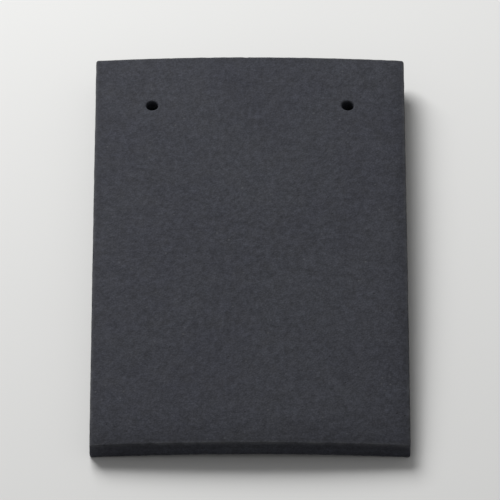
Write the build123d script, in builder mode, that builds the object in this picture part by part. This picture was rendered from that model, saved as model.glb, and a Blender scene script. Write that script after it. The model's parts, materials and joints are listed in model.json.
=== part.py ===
from build123d import *
from math import asin, atan2, cos, degrees, sin
import os

# A plain clay roof tile, pressed in one piece: a thin slab cambered along and across, with two nibs
# under its head that hang on a batten, and two nail holes. It lies face up on a level floor, as it
# would unheld: on its nibs and on the two lower corners of its tail.
# +X runs across the tile, +Y from the tail to the head and +Z up. Lengths are in millimetres.

# Slab
length = 265.0
width = 165.0
thickness = 12.0
cross_camber = 2.8  # rise of the middle line above the two long edges
long_camber = 3.0  # rise of the middle above the head and the tail
corner_radius = 1.5
face_arris = 1.0
back_arris = 0.8

# Nibs, measured at their tips
nib_width = 24.0
nib_depth = 11.0
nib_drop = 10.0
nib_spacing = 88.0
nib_from_head = 5.0
nib_draft = 6.0
nib_corner = 2.5
nib_edge = 1.5
nib_root = 2.5

# Nail holes
nail_hole_diameter = 6.0
nail_hole_spacing = 104.0
nail_hole_from_head = 36.0
nail_mouth_chamfer = 1.2
nail_exit_chamfer = 0.5

# The bend along the length turns about an axis parallel to X, far below the tile
bend_radius = (length**2 / 4 + long_camber**2) / (2 * long_camber)
half_bend = asin(length / 2 / bend_radius)


def camber_drop(across):
    """How far the skin lies below its middle line, at a distance across from it."""
    return cross_camber * (2 * across / width) ** 2


# Each feature's distance from the head, and its depth below the middle line of the face
tail_from_head = 2 * half_bend * bend_radius
tail_corner_depth = thickness + camber_drop(width / 2 - back_arris)
nib_middle_from_head = nib_from_head + nib_depth / 2
nib_tip_depth = thickness + camber_drop(nib_spacing / 2) + nib_drop
nail_mouth_depth = camber_drop(nail_hole_spacing / 2)


def bend_point(from_head, depth, ahead):
    """A place in the bend's own plane, (y, z) from its axis, ahead being towards the head."""
    angle = half_bend - from_head / bend_radius
    radius = bend_radius - depth
    return Vector(
        radius * sin(angle) + ahead * cos(angle), radius * cos(angle) - ahead * sin(angle)
    )


# Lying down, two rounded edges touch the floor: the tail's back arris and the front of the nibs.
tail_rest = bend_point(tail_from_head, tail_corner_depth - back_arris, back_arris)
nib_rest = bend_point(nib_middle_from_head, nib_tip_depth - nib_edge, nib_depth / 2 - nib_edge)
rest_span = nib_rest - tail_rest
lie_tilt = asin((nib_edge - back_arris) / rest_span.length) - atan2(rest_span.Y, rest_span.X)
bend_height = back_arris - tail_rest.X * sin(lie_tilt) - tail_rest.Y * cos(lie_tilt)
bend_centre = Vector(0, bend_radius * sin(lie_tilt), bend_height)
bend_axis = Axis(bend_centre, (-1, 0, 0))


def skin_plane(from_head, depth):
    """A plane along the laid tile: x across it, y towards its head and z outward."""
    angle = half_bend - from_head / bend_radius - lie_tilt
    outward = Vector(0, sin(angle), cos(angle))
    return Plane(bend_centre + outward * (bend_radius - depth), x_dir=(1, 0, 0), z_dir=outward)


tail_skin = skin_plane(tail_from_head, 0)

with BuildPart() as roof_tile:
    # The section at the tail, bent round to the head
    with BuildSketch(Plane(bend_centre, x_dir=(1, 0, 0), z_dir=-tail_skin.y_dir)):
        with BuildLine():
            face_low = bend_radius - cross_camber
            face_top = bend_radius + cross_camber
            face = Bezier((-width / 2, face_low), (0, face_top), (width / 2, face_low))
            back = Bezier(
                (-width / 2, face_low - thickness),
                (0, face_top - thickness),
                (width / 2, face_low - thickness),
            )
            Line(face @ 0, back @ 0)
            Line(face @ 1, back @ 1)
        make_face()
    revolve(axis=bend_axis, revolution_arc=degrees(2 * half_bend))
    fillet(roof_tile.edges().filter_by(GeomType.LINE), corner_radius)
    fillet(roof_tile.faces().sort_by(SortBy.AREA)[-2:].sort_by(Axis.Z)[-1].edges(), face_arris)
    fillet(roof_tile.faces().sort_by(SortBy.AREA)[-2:].sort_by(Axis.Z)[0].edges(), back_arris)

    # Nibs, drafted all round
    with BuildSketch(skin_plane(nib_middle_from_head, nib_tip_depth)):
        with GridLocations(nib_spacing, 0, 2, 1):
            RectangleRounded(nib_width, nib_depth, nib_corner)
    extrude(amount=nib_drop + thickness / 2, taper=-nib_draft)
    fillet(roof_tile.edges(Select.NEW), nib_root)
    nib_tips = roof_tile.faces().filter_by(GeomType.PLANE).sort_by(Axis.Z)[:2]
    fillet(nib_tips.edges(), nib_edge)

    # Nail holes, square to the face
    with Locations(skin_plane(nail_hole_from_head, nail_mouth_depth)):
        with GridLocations(nail_hole_spacing, 0, 2, 1):
            Hole(nail_hole_diameter / 2)
    rims = roof_tile.edges(Select.NEW).filter_by(GeomType.BSPLINE).sort_by(Axis.Z)
    chamfer(rims[:2], nail_exit_chamfer)
    chamfer(rims[2:], nail_mouth_chamfer)

roof_tile.part.label = "roof_tile"
os.makedirs("parts", exist_ok=True)
export_step(roof_tile.part, "parts/roof_tile.step")
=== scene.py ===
import json
import math

import bmesh
import bpy
import numpy as np
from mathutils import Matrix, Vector, noise
from mathutils.geometry import delaunay_2d_cdt


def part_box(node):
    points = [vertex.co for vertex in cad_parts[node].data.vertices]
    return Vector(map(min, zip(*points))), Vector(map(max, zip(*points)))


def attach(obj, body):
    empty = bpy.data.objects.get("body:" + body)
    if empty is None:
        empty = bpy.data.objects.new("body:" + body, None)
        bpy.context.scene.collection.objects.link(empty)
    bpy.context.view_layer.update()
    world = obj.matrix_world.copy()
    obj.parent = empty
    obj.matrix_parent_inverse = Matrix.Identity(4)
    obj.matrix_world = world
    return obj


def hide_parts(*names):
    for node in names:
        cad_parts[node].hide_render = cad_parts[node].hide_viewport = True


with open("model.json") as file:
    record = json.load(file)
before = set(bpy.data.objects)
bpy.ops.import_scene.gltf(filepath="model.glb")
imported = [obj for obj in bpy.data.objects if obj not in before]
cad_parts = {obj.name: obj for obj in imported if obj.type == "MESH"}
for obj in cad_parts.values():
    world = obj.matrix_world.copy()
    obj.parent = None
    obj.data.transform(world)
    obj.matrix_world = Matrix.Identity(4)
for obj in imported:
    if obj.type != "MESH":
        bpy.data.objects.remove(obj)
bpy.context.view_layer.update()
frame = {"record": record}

# Sizes in metres, as the solid has them
length = 0.265
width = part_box("roof_tile")[1].x * 2
thickness = 0.012
cross_camber = 0.0028
long_camber = 0.003
corner_radius = 0.0015
face_arris = 0.001
back_arris = 0.0008

nib_width = 0.024
nib_depth = 0.011
nib_drop = 0.010
nib_spacing = 0.088
nib_from_head = 0.005
nib_draft = math.radians(6)
nib_corner = 0.0025
nib_edge = 0.0015
nib_root = 0.0025

nail_hole_radius = 0.003
nail_hole_spacing = 0.104
nail_hole_from_head = 0.036
nail_mouth = 0.0012
nail_exit = 0.0005

bend_radius = (length**2 / 4 + long_camber**2) / (2 * long_camber)
half_bend = math.asin(length / 2 / bend_radius)
half_run = half_bend * bend_radius

# The face falls away near its edges, which the solid doesn't have: how far from the tail and from
# the other edges that starts, how far it falls there, and the power of the curve
tail_reach = 0.028
tail_fall = 0.0013
side_reach = 0.013
side_fall = 0.0008
fall_power = 2.5

# Spacing of the mesh on the face and round the rim, on the back, and on the nibs
face_step = 0.0009
back_step = 0.0016
nib_step = 0.0010
grid_clearance = 0.6  # from a hole to the nearest points of the grid, in steps

# Numbers of points round a corner, over an arris, down the tile's edge and a nail hole, over a
# nib's root, down its side and over its edge, both ends counted, and round a nail hole
corner_points = 7
arris_points = 6
edge_points = 9
bore_points = 8
nib_root_points = 7
nib_side_points = 6
nib_edge_points = 6
nail_hole_points = 40

# For the triangulation: keep what lies inside the border, and join points nearer than this
inside_border = 1
join_distance = 1e-8

# Noises that sink the skin, each as the size of its grains and a shift: sway, ripple and peel all
# over, wear and nicks along the arrises
skin_noises = (
    (0.05, (0, 0, 0)),
    (0.010, (5, 3, 1)),
    (0.004, (1, 7, 2)),
    (0.006, (9, 2, 4)),
    (0.004, (2, 8, 6)),
)
mean_relief = 0.00015
sway_depth = 0.00006
ripple_depth = 0.00005
peel_depth = 0.00012
wear_depth = 0.00008
nick_depth = 0.0006
nick_threshold = 0.3

# The masks for the material: how far from an arris the wear and its painted highlight reach, how far
# in from the outline the edge's mask ends, and over what distance it and the back's mask fade
wear_and_highlight_reach = 0.0011
edge_end = 0.0012
edge_fade = 0.0008
back_fade = 0.0004

# The clay's grains: their size in metres, how far they change its shade either way, and their
# height in millimetres. The pebbles', grains' and sand's tone follows their relief, lighter where they
# stand higher: partly speckle in the clay, partly painted highlight and shade.
cloud_size, cloud_shade = 0.04, 0.06
mottle_size, mottle_shade = 0.010, 0.09
fleck_size, fleck_shade = 0.0045, 0.12
pebble_size, pebble_shade, pebble_height = 0.0022, 0.16, 0.18
grain_size, grain_height = 0.0010, 0.07
sand_size, sand_shade, sand_height = 0.0004, 0.15, 0.05
# The grains' tone: painted shade in their gaps and painted highlight on their tops
grain_gap_painted_shade, grain_top_painted_highlight = 0.74, 1.14
# How dark the face's margins are painted: painted shade where the face falls away from the light
margin_painted_shade = 0.80

# Lines dragged along the edges and the back: their width, how many times as long they are, and
# their height in millimetres
drag_width, drag_stretch, drag_height = 0.0014, 40, 0.12

# Pits and grog: how far apart their places are, their radius, the share of those places that have
# one, how strongly it colours the clay (for a pit, how strongly painted shade darkens it), and a pit's
# depth in millimetres
pit_spacing, pit_radius, pit_share, pit_shade_cover, pit_depth = 0.006, 0.0006, 0.45, 0.6, 0.15
grog_spacing, grog_radius, grog_share, grog_cover = 0.0045, 0.0007, 0.35, 0.35

cool_clay = (0.0362, 0.0382, 0.0497, 1)
neutral_clay = (0.0369, 0.0391, 0.0488, 1)
grog_clay = (0.11, 0.112, 0.118, 1)
# A pit's colour: painted shade in its hollow
painted_pit_shade = (0.016, 0.016, 0.018, 1)
# Paler clay at the arrises: partly wear, partly a painted highlight of the arrises catching the light
rubbed_and_highlit_clay = (0.095, 0.097, 0.103, 1)
least_rub_and_highlight, most_rub_and_highlight = 0.15, 0.6
smoothest, roughest = 0.74, 0.84
clay_specular = 0.22

# The part of a noise that is spread out: nearly all of it, or less for the hue and for the rubbing and
# painted highlight at the arrises
noise_range = 0.3, 0.7
hue_range = 0.35, 0.65
rub_and_highlight_range = 0.35, 0.6

floor_size = 8
floor_colour = (0.76, 0.76, 0.75, 1)
floor_roughness = 0.9
floor_specular = 0.1

sky_strength = 0.25
key_place = Vector((-0.6, 1.15, 1.2))
key_size = 1.1
key_watts = 35.5

camera_elevation = math.radians(48)
camera_distance = 3.8
camera_target = Vector((0, 0, 0.014))
camera_sensor = 36  # in millimetres
view_width = 0.262  # how much the camera takes in at its target


# The tile's own coordinates: u across it, v along its face from the middle to the head, and the
# depth below the skin of the face. They bend with the tile.

def camber_drop(u):
    return cross_camber * (2 * u / width) ** 2


def margins(u, v):
    """How far into the face's margins a place is, at the tail and at the other edges, up to 1."""
    to_tail = half_run + v
    to_side = np.minimum(width / 2 - np.abs(u), half_run - v)
    tail = np.clip(1 - to_tail / tail_reach, 0, 1) ** fall_power
    side = np.clip(1 - to_side / side_reach, 0, 1) ** fall_power
    return tail, side


def face_fall(u, v):
    """How far the face falls away in its margins."""
    tail, side = margins(u, v)
    return np.hypot(tail_fall * tail, side_fall * side)


def nib_tip_depth(u):
    """Depth of the flat tips of the nibs, which don't follow the camber."""
    return thickness + nib_drop + camber_drop(nib_spacing / 2) - camber_drop(u)


def laid_bend():
    """The bend's centre (y, z) and the tile's tilt, read back from a nail hole's mount."""
    mount = next(m for m in frame["record"]["mounts"] if m["name"] == "nail_hole_left")
    _, middle_y, middle_z = mount["pos_m"]
    _, axis_y, axis_z = mount["axis"]
    lean = math.atan2(axis_y, axis_z)
    reach = bend_radius - camber_drop(nail_hole_spacing / 2) - thickness / 2
    tilt = half_bend - nail_hole_from_head / bend_radius - lean
    return middle_y - reach * math.sin(lean), middle_z - reach * math.cos(lean), tilt


def lay(points):
    """Takes (u, v, depth) to (x, y, z) on the floor, with a fall that fades out towards the back."""
    centre_y, centre_z, tilt = laid_bend()
    u, v, depth = points.T
    depth = depth + face_fall(u, v) * np.clip(1 - depth / thickness, 0, 1)
    angle = v / bend_radius - tilt
    reach = bend_radius - camber_drop(u) - depth
    return np.column_stack((u, centre_y + reach * np.sin(angle), centre_z + reach * np.cos(angle)))


def corner_middles(half_u, half_v, corner):
    """Where the corner arcs of a rounded rectangle have their middles, anticlockwise."""
    return np.array(((1, 1), (-1, 1), (-1, -1), (1, -1))) * (half_u - corner, half_v - corner)


def rounded_outline(half_u, half_v, corner, step):
    """Points and outward normals round a rounded rectangle, anticlockwise."""
    centres = corner_middles(half_u, half_v, corner)
    points = []
    normals = []
    for quarter, centre in enumerate(centres):
        angles = math.pi / 2 * (quarter + np.linspace(0, 1, corner_points))
        round_normals = np.column_stack((np.cos(angles), np.sin(angles)))
        run = centres[(quarter + 1) % 4] - centre
        count = max(1, round(np.linalg.norm(run) / step))
        along = np.arange(1, count)[:, None] / count
        points += [centre + corner * round_normals, centre + corner * round_normals[-1] + along * run]
        normals += [round_normals, np.tile(round_normals[-1], (count - 1, 1))]
    return np.vstack(points), np.vstack(normals)


def circle(centre, radius):
    angles = np.linspace(0, 2 * math.pi, nail_hole_points, endpoint=False)
    return np.array(centre) + radius * np.column_stack((np.cos(angles), np.sin(angles)))


def inside(points, loop):
    """Which points lie inside a closed loop, from how often a line to each one crosses it."""
    after = np.roll(loop, -1, axis=0)
    u, v = points[:, :1], points[:, 1:]
    spans = (loop[:, 1] > v) != (after[:, 1] > v)
    rise = np.where(spans, after[:, 1] - loop[:, 1], 1)
    crossing = loop[:, 0] + (v - loop[:, 1]) * (after[:, 0] - loop[:, 0]) / rise
    return (spans & (u < crossing)).sum(axis=1) % 2 == 1


def fill_points(border, holes, corners, step):
    """The corners' middles and a grid over the border's reach, clear of the holes."""
    low, high = border.min(axis=0), border.max(axis=0)
    counts = np.maximum(2, np.round((high - low) / step)).astype(int)
    columns = np.linspace(low[0], high[0], counts[0] + 1)[1:-1]
    rows = np.linspace(low[1], high[1], counts[1] + 1)[1:-1]
    grid = np.vstack((corners, [(u, v) for u in columns for v in rows]))
    for hole in holes:
        away = np.linalg.norm(grid[:, None] - hole, axis=2).min(axis=1)
        grid = grid[(away >= grid_clearance * step) & ~inside(grid, hole)]
    return grid


class TileMesh:
    """Gathers the tile's vertices, as (u, v, depth), and its faces."""

    def __init__(self):
        self.points = np.empty((0, 3))
        self.faces = []

    def ring(self, outline, depth):
        """Adds a closed ring of vertices and returns their numbers."""
        first = len(self.points)
        depths = np.broadcast_to(depth, len(outline))
        self.points = np.vstack((self.points, np.column_stack((outline, depths))))
        return list(range(first, len(self.points)))

    def strips(self, rings):
        """Joins each ring to the next with quads."""
        for ring, after in zip(rings, rings[1:]):
            self.faces += zip(ring, ring[1:] + ring[:1], after[1:] + after[:1], after)

    def fill(self, border, holes, corners, step, depth_at):
        """Fills a border round its holes with triangles."""
        rings = [border, *holes]
        loops = [self.points[ring, :2] for ring in rings]
        extra = fill_points(loops[0], loops[1:], corners, step)
        numbers = sum(rings, []) + self.ring(extra, depth_at(extra[:, 0]))
        edges = []
        for ring in rings:
            first, count = len(edges), len(ring)
            edges += [(first + i, first + (i + 1) % count) for i in range(count)]
        flat = [Vector(p) for p in self.points[numbers, :2]]
        triangles = delaunay_2d_cdt(flat, edges, [], inside_border, join_distance)[2]
        middles = np.array([np.mean([flat[i] for i in t], axis=0) for t in triangles])
        in_hole = np.zeros(len(triangles), dtype=bool)
        for loop in loops[1:]:
            in_hole |= inside(middles, loop)
        for triangle, is_open in zip(triangles, in_hole):
            if not is_open:
                self.faces.append(tuple(numbers[i] for i in triangle))


def rim_rings(tile):
    """The tile's edge all round, from the face over both arrises to the back."""
    outline, normals = rounded_outline(width / 2, half_run, corner_radius, face_step)
    turn = np.linspace(0, math.pi / 2, arris_points)
    profile = [(face_arris * (1 - math.sin(t)), face_arris * (1 - math.cos(t))) for t in turn]
    straight = np.linspace(face_arris, thickness - back_arris, edge_points)[1:-1]
    profile += [(0, depth) for depth in straight]
    profile += [
        (back_arris * (1 - math.cos(t)), thickness - back_arris * (1 - math.sin(t))) for t in turn
    ]
    return [tile.ring(outline - inset * normals, depth) for inset, depth in profile]


def nail_hole_rings(tile, side):
    """A nail hole, from its flared mouth in the face to its exit in the back."""
    centre = (side * nail_hole_spacing / 2, half_run - nail_hole_from_head)
    turn = np.linspace(0, math.pi / 2, arris_points)
    straight = np.linspace(nail_mouth, thickness - nail_exit, bore_points)[1:]
    profile = [
        (nail_hole_radius + nail_mouth * (1 - math.sin(t)), nail_mouth * (1 - math.cos(t)))
        for t in turn
    ]
    profile += [(nail_hole_radius, depth) for depth in straight]
    profile.append((nail_hole_radius + nail_exit, thickness))
    return [tile.ring(circle(centre, radius), depth) for radius, depth in profile]


def nib_centre(side):
    return np.array((side * nib_spacing / 2, half_run - nib_from_head - nib_depth / 2))


def nib_rings(tile, side):
    """A nib, from its root fillet on the back to the rounded edge of its tip."""
    outline, normals = rounded_outline(nib_width / 2, nib_depth / 2, nib_corner, nib_step)
    outline = outline + nib_centre(side)
    sine, cosine = math.sin(nib_draft), math.cos(nib_draft)
    rings = []

    def add(spread, height):
        flat = outline + np.reshape(spread, (-1, 1)) * normals
        rings.append(tile.ring(flat, thickness + height))

    # How high the tip stands off the cambered back, all round
    high = nib_tip_depth(outline[:, 0]) - thickness
    root_middle = (high * sine + nib_root * (1 - sine)) / cosine
    for turn in np.linspace(math.pi / 2, nib_draft, nib_root_points):
        add(root_middle - nib_root * math.cos(turn), nib_root * (1 - math.sin(turn)))
    root_top = nib_root * (1 - sine)
    tip_start = high - nib_edge * (1 - sine)
    for share in np.linspace(0, 1, nib_side_points)[1:]:
        height = root_top + share * (tip_start - root_top)
        add((high - height) * sine / cosine, height)
    edge_middle = -nib_edge * (1 - sine) / cosine
    for turn in np.linspace(nib_draft, math.pi / 2, nib_edge_points)[1:]:
        height = high - nib_edge + nib_edge * math.sin(turn)
        add(edge_middle + nib_edge * math.cos(turn), height)
    return rings


def tile_mesh():
    tile = TileMesh()
    sides = (-1, 1)
    rim = rim_rings(tile)
    nails = [nail_hole_rings(tile, side) for side in sides]
    nibs = [nib_rings(tile, side) for side in sides]
    for rings in [rim, *nails, *nibs]:
        tile.strips(rings)
    corners = corner_middles(width / 2, half_run, corner_radius)
    tile.fill(rim[0], [rings[0] for rings in nails], corners, face_step, lambda u: 0)
    back_holes = [rings[-1] for rings in nails] + [rings[0] for rings in nibs]
    tile.fill(rim[-1], back_holes, corners, back_step, lambda u: thickness)
    nib_corners = corner_middles(nib_width / 2, nib_depth / 2, nib_corner)
    for side, rings in zip(sides, nibs):
        tile.fill(rings[-1], [], nib_centre(side) + nib_corners, nib_step, nib_tip_depth)
    return tile


def add_tile():
    tile = tile_mesh()
    mesh = bpy.data.meshes.new("clay_tile")
    mesh.from_pydata(lay(tile.points).tolist(), [], tile.faces)
    work = bmesh.new()
    work.from_mesh(mesh)
    bmesh.ops.recalc_face_normals(work, faces=work.faces)
    work.to_mesh(mesh)
    work.free()
    weather(mesh, tile.points)
    mesh.shade_smooth()
    piece = bpy.data.objects.new("clay_tile", mesh)
    bpy.context.scene.collection.objects.link(piece)
    mesh.materials.append(fired_clay())
    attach(piece, "root")
    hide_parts("roof_tile")


def skin_masks(points):
    """Masks up to 1: wear and painted highlight at the arrises, the tile's edge, its back, and painted
    shade in the face's margins.
    """
    u, v, depth = points.T
    inset = np.minimum(width / 2 - np.abs(u), half_run - np.abs(v))
    to_arris = np.minimum(np.hypot(inset, depth), np.hypot(inset, thickness - depth))
    off_edge = np.clip(inset / edge_fade, 0, 1)
    return {
        "wear_and_highlight": np.exp(-((to_arris / wear_and_highlight_reach) ** 2)),
        "edge": np.clip((edge_end - inset) / edge_fade, 0, 1),
        "back": np.clip(1 - (thickness - depth) / back_fade, 0, 1) * off_edge,
        # The face's margins, where the material paints shade
        "painted_shade_margin": np.hypot(*margins(u, v)) * (depth < thickness / 2),
    }


def skin_sink(place, wear_and_highlight):
    """How far the skin is sunk at a place, the arris mask being 1 on an arris and 0 away from it."""
    sway, ripple, peel, wear, nick = (
        noise.noise(place / size + Vector(shift)) for size, shift in skin_noises
    )
    relief = mean_relief + sway_depth * sway + ripple_depth * ripple + peel_depth * peel
    nicks = max(0, nick - nick_threshold)
    return max(0, relief) + wear_and_highlight * (wear_depth * (1 + wear) + nick_depth * nicks)


def weather(mesh, points):
    """Sinks the skin by small uneven amounts, and keeps its masks for the material."""
    normals = np.empty(len(mesh.vertices) * 3)
    mesh.vertices.foreach_get("normal", normals)
    masks = skin_masks(points)
    sink = np.array([skin_sink(Vector(p), wear_and_highlight) for p, wear_and_highlight in zip(points, masks["wear_and_highlight"])])
    places = lay(points) - normals.reshape(-1, 3) * sink[:, None]
    mesh.vertices.foreach_set("co", places.ravel())
    for name, values in masks.items():
        mesh.attributes.new(name, "FLOAT", "POINT").data.foreach_set("value", values)


class Nodes:
    """Builds a material's nodes from values, colours and other nodes' outputs."""

    def __init__(self, name):
        self.material = bpy.data.materials.new(name)
        self.material.use_nodes = True
        self.tree = self.material.node_tree
        self.shader = self.tree.nodes["Principled BSDF"]
        self.place = self.tree.nodes.new("ShaderNodeTexCoord").outputs["Object"]

    def set(self, socket, value):
        if isinstance(value, bpy.types.NodeSocket):
            self.tree.links.new(value, socket)
        else:
            socket.default_value = value

    def attribute(self, name):
        node = self.tree.nodes.new("ShaderNodeAttribute")
        node.attribute_name = name
        return node.outputs["Fac"]

    def noise(self, size, detail=2, stretch=(1, 1, 1)):
        """Noise whose grains are about that size in metres, stretched along the axes."""
        mapping = self.tree.nodes.new("ShaderNodeMapping")
        mapping.inputs["Scale"].default_value = [1 / (size * s) for s in stretch]
        self.set(mapping.inputs["Vector"], self.place)
        node = self.tree.nodes.new("ShaderNodeTexNoise")
        self.set(node.inputs["Vector"], mapping.outputs[0])
        node.inputs["Scale"].default_value = 1
        node.inputs["Detail"].default_value = detail
        return node.outputs["Fac"]

    def cells(self, spacing):
        """Points scattered that far apart: the distance from the nearest one, and its colour."""
        node = self.tree.nodes.new("ShaderNodeTexVoronoi")
        self.set(node.inputs["Vector"], self.place)
        node.inputs["Scale"].default_value = 1 / spacing
        return node.outputs

    def grains(self, size, top=0.1, gap=0.8):
        """Rounded grains of about that size, 1 at their tops and 0 in the gaps."""
        return self.spread(self.cells(size)["Distance"], top, gap, 1, 0)

    def dots(self, spacing, radius, share, fade=0.1):
        """Round dots on that share of the places that far apart, some of them faint."""
        cells = self.cells(spacing)
        chosen = self.spread(cells["Color"], share, share - fade, 0, 1)
        reach = radius / spacing
        return self.product(chosen, self.spread(cells["Distance"], reach, reach / 2, 0, 1))

    def spread(self, value, low, high, new_low, new_high):
        """Takes low to new_low and high to new_high, and holds what lies beyond."""
        node = self.tree.nodes.new("ShaderNodeMapRange")
        for name, number in zip(("Value", "From Min", "From Max", "To Min", "To Max"),
                                (value, low, high, new_low, new_high)):
            self.set(node.inputs[name], number)
        return node.outputs[0]

    def vary(self, value, shade):
        """A factor that a noise takes that far either side of 1."""
        return self.spread(value, *noise_range, 1 - shade, 1 + shade)

    def math(self, operation, first, second):
        node = self.tree.nodes.new("ShaderNodeMath")
        node.operation = operation
        self.set(node.inputs[0], first)
        self.set(node.inputs[1], second)
        return node.outputs[0]

    def product(self, *values):
        result = values[0]
        for value in values[1:]:
            result = self.math("MULTIPLY", result, value)
        return result

    def total(self, *values):
        result = values[0]
        for value in values[1:]:
            result = self.math("ADD", result, value)
        return result

    def mix(self, factor, first, second):
        node = self.tree.nodes.new("ShaderNodeMix")
        node.data_type = "RGBA"
        self.set(node.inputs["Factor"], factor)
        self.set(node.inputs["A"], first)
        self.set(node.inputs["B"], second)
        return node.outputs["Result"]

    def shade(self, colour, factor):
        """A colour times a number."""
        node = self.tree.nodes.new("ShaderNodeVectorMath")
        node.operation = "SCALE"
        self.set(node.inputs[0], colour)
        self.set(node.inputs["Scale"], factor)
        return node.outputs[0]

    def bump(self, height):
        """Relief from a height in millimetres."""
        node = self.tree.nodes.new("ShaderNodeBump")
        node.inputs["Distance"].default_value = 0.001
        self.set(node.inputs["Height"], height)
        self.set(self.shader.inputs["Normal"], node.outputs[0])


def clay_colour(clay, mottle, pebble, grain, sand, pits):
    """Anthracite with grains of several sizes, pits and paler grog, painted shade in the margins, and
    paler at the arrises: partly rubbed, partly a painted highlight.
    """
    cloud = clay.noise(cloud_size)
    fleck = clay.noise(fleck_size, detail=1)
    tone = clay.product(
        clay.vary(cloud, cloud_shade),
        clay.vary(mottle, mottle_shade),
        clay.vary(fleck, fleck_shade),
        clay.vary(pebble, pebble_shade),
        # Painted shade in the grains' gaps and painted highlight on their tops
        clay.spread(grain, 0, 1, grain_gap_painted_shade, grain_top_painted_highlight),
        clay.vary(sand, sand_shade),
        # Painted shade in the face's margins, near the tail and the other edges
        clay.spread(clay.attribute("painted_shade_margin"), 0, 1, 1, margin_painted_shade),
    )
    hue = clay.mix(clay.spread(cloud, *hue_range, 0, 1), cool_clay, neutral_clay)
    colour = clay.shade(hue, tone)
    grog = clay.dots(grog_spacing, grog_radius, grog_share)
    colour = clay.mix(clay.product(grog, grog_cover), colour, grog_clay)
    # Pits darkened with painted shade
    colour = clay.mix(clay.product(pits, pit_shade_cover), colour, painted_pit_shade)
    uneven = clay.spread(mottle, *rub_and_highlight_range, least_rub_and_highlight, most_rub_and_highlight)
    # Paler at the arrises: partly rubbed, partly a painted highlight
    return clay.mix(clay.product(clay.attribute("wear_and_highlight"), uneven), colour, rubbed_and_highlit_clay)


def clay_height(clay, pebble, grain, sand, pits):
    """The finest relief, in millimetres: grit, pits, and drag lines on the edges and the back."""
    grit = clay.total(
        clay.product(pebble, pebble_height),
        clay.product(grain, grain_height),
        clay.product(sand, sand_height),
    )
    drag = clay.noise(drag_width, stretch=(1, drag_stretch, 1))
    dragged = clay.total(clay.attribute("back"), clay.attribute("edge"))
    drags = clay.product(dragged, clay.spread(drag, *noise_range, 0, drag_height))
    return clay.total(grit, drags, clay.product(pits, -pit_depth))


def fired_clay():
    """Through-coloured anthracite clay: matt and fine-grained, faintly mottled, paler at the arrises
    from wear and a painted highlight, with painted shade in the face's margins, grit gaps and pits.
    """
    clay = Nodes("fired_clay")
    mottle = clay.noise(mottle_size)
    pebble = clay.noise(pebble_size, detail=1)
    grain = clay.grains(grain_size)
    sand = clay.noise(sand_size, detail=1)
    pits = clay.dots(pit_spacing, pit_radius, pit_share)
    inputs = clay.shader.inputs
    clay.set(inputs["Base Color"], clay_colour(clay, mottle, pebble, grain, sand, pits))
    clay.set(inputs["Roughness"], clay.spread(mottle, *noise_range, smoothest, roughest))
    clay.set(inputs["Specular IOR Level"], clay_specular)
    clay.bump(clay_height(clay, pebble, grain, sand, pits))
    return clay.material


def add_floor():
    bpy.ops.mesh.primitive_plane_add(size=floor_size, location=(0, 0, 0))
    floor = bpy.context.object
    floor.name = "floor"
    material = bpy.data.materials.new("floor")
    material.use_nodes = True
    inputs = material.node_tree.nodes["Principled BSDF"].inputs
    inputs["Base Color"].default_value = floor_colour
    inputs["Roughness"].default_value = floor_roughness
    inputs["Specular IOR Level"].default_value = floor_specular
    floor.data.materials.append(material)


def aim(thing, place, target):
    """Puts a lamp or a camera at a place, pointing at a target."""
    thing.location = place
    thing.rotation_euler = (target - thing.location).to_track_quat("-Z", "Y").to_euler()
    bpy.context.scene.collection.objects.link(thing)


def add_light():
    world = bpy.data.worlds.new("studio")
    bpy.context.scene.world = world
    world.use_nodes = True
    sky = world.node_tree.nodes["Background"]
    sky.inputs["Color"].default_value = (1, 1, 1, 1)
    sky.inputs["Strength"].default_value = sky_strength
    key = bpy.data.lights.new("key", "AREA")
    key.size = key_size
    key.energy = key_watts
    aim(bpy.data.objects.new("key", key), key_place, Vector((0, 0, 0)))


def add_camera():
    data = bpy.data.cameras.new("camera")
    data.sensor_width = camera_sensor
    data.lens = camera_sensor * camera_distance / view_width
    camera = bpy.data.objects.new("camera", data)
    offset = Vector((0, -math.cos(camera_elevation), math.sin(camera_elevation)))
    aim(camera, camera_target + camera_distance * offset, camera_target)
    bpy.context.scene.camera = camera


add_tile()
add_floor()
add_light()
add_camera()
bpy.context.scene.view_settings.view_transform = "Standard"
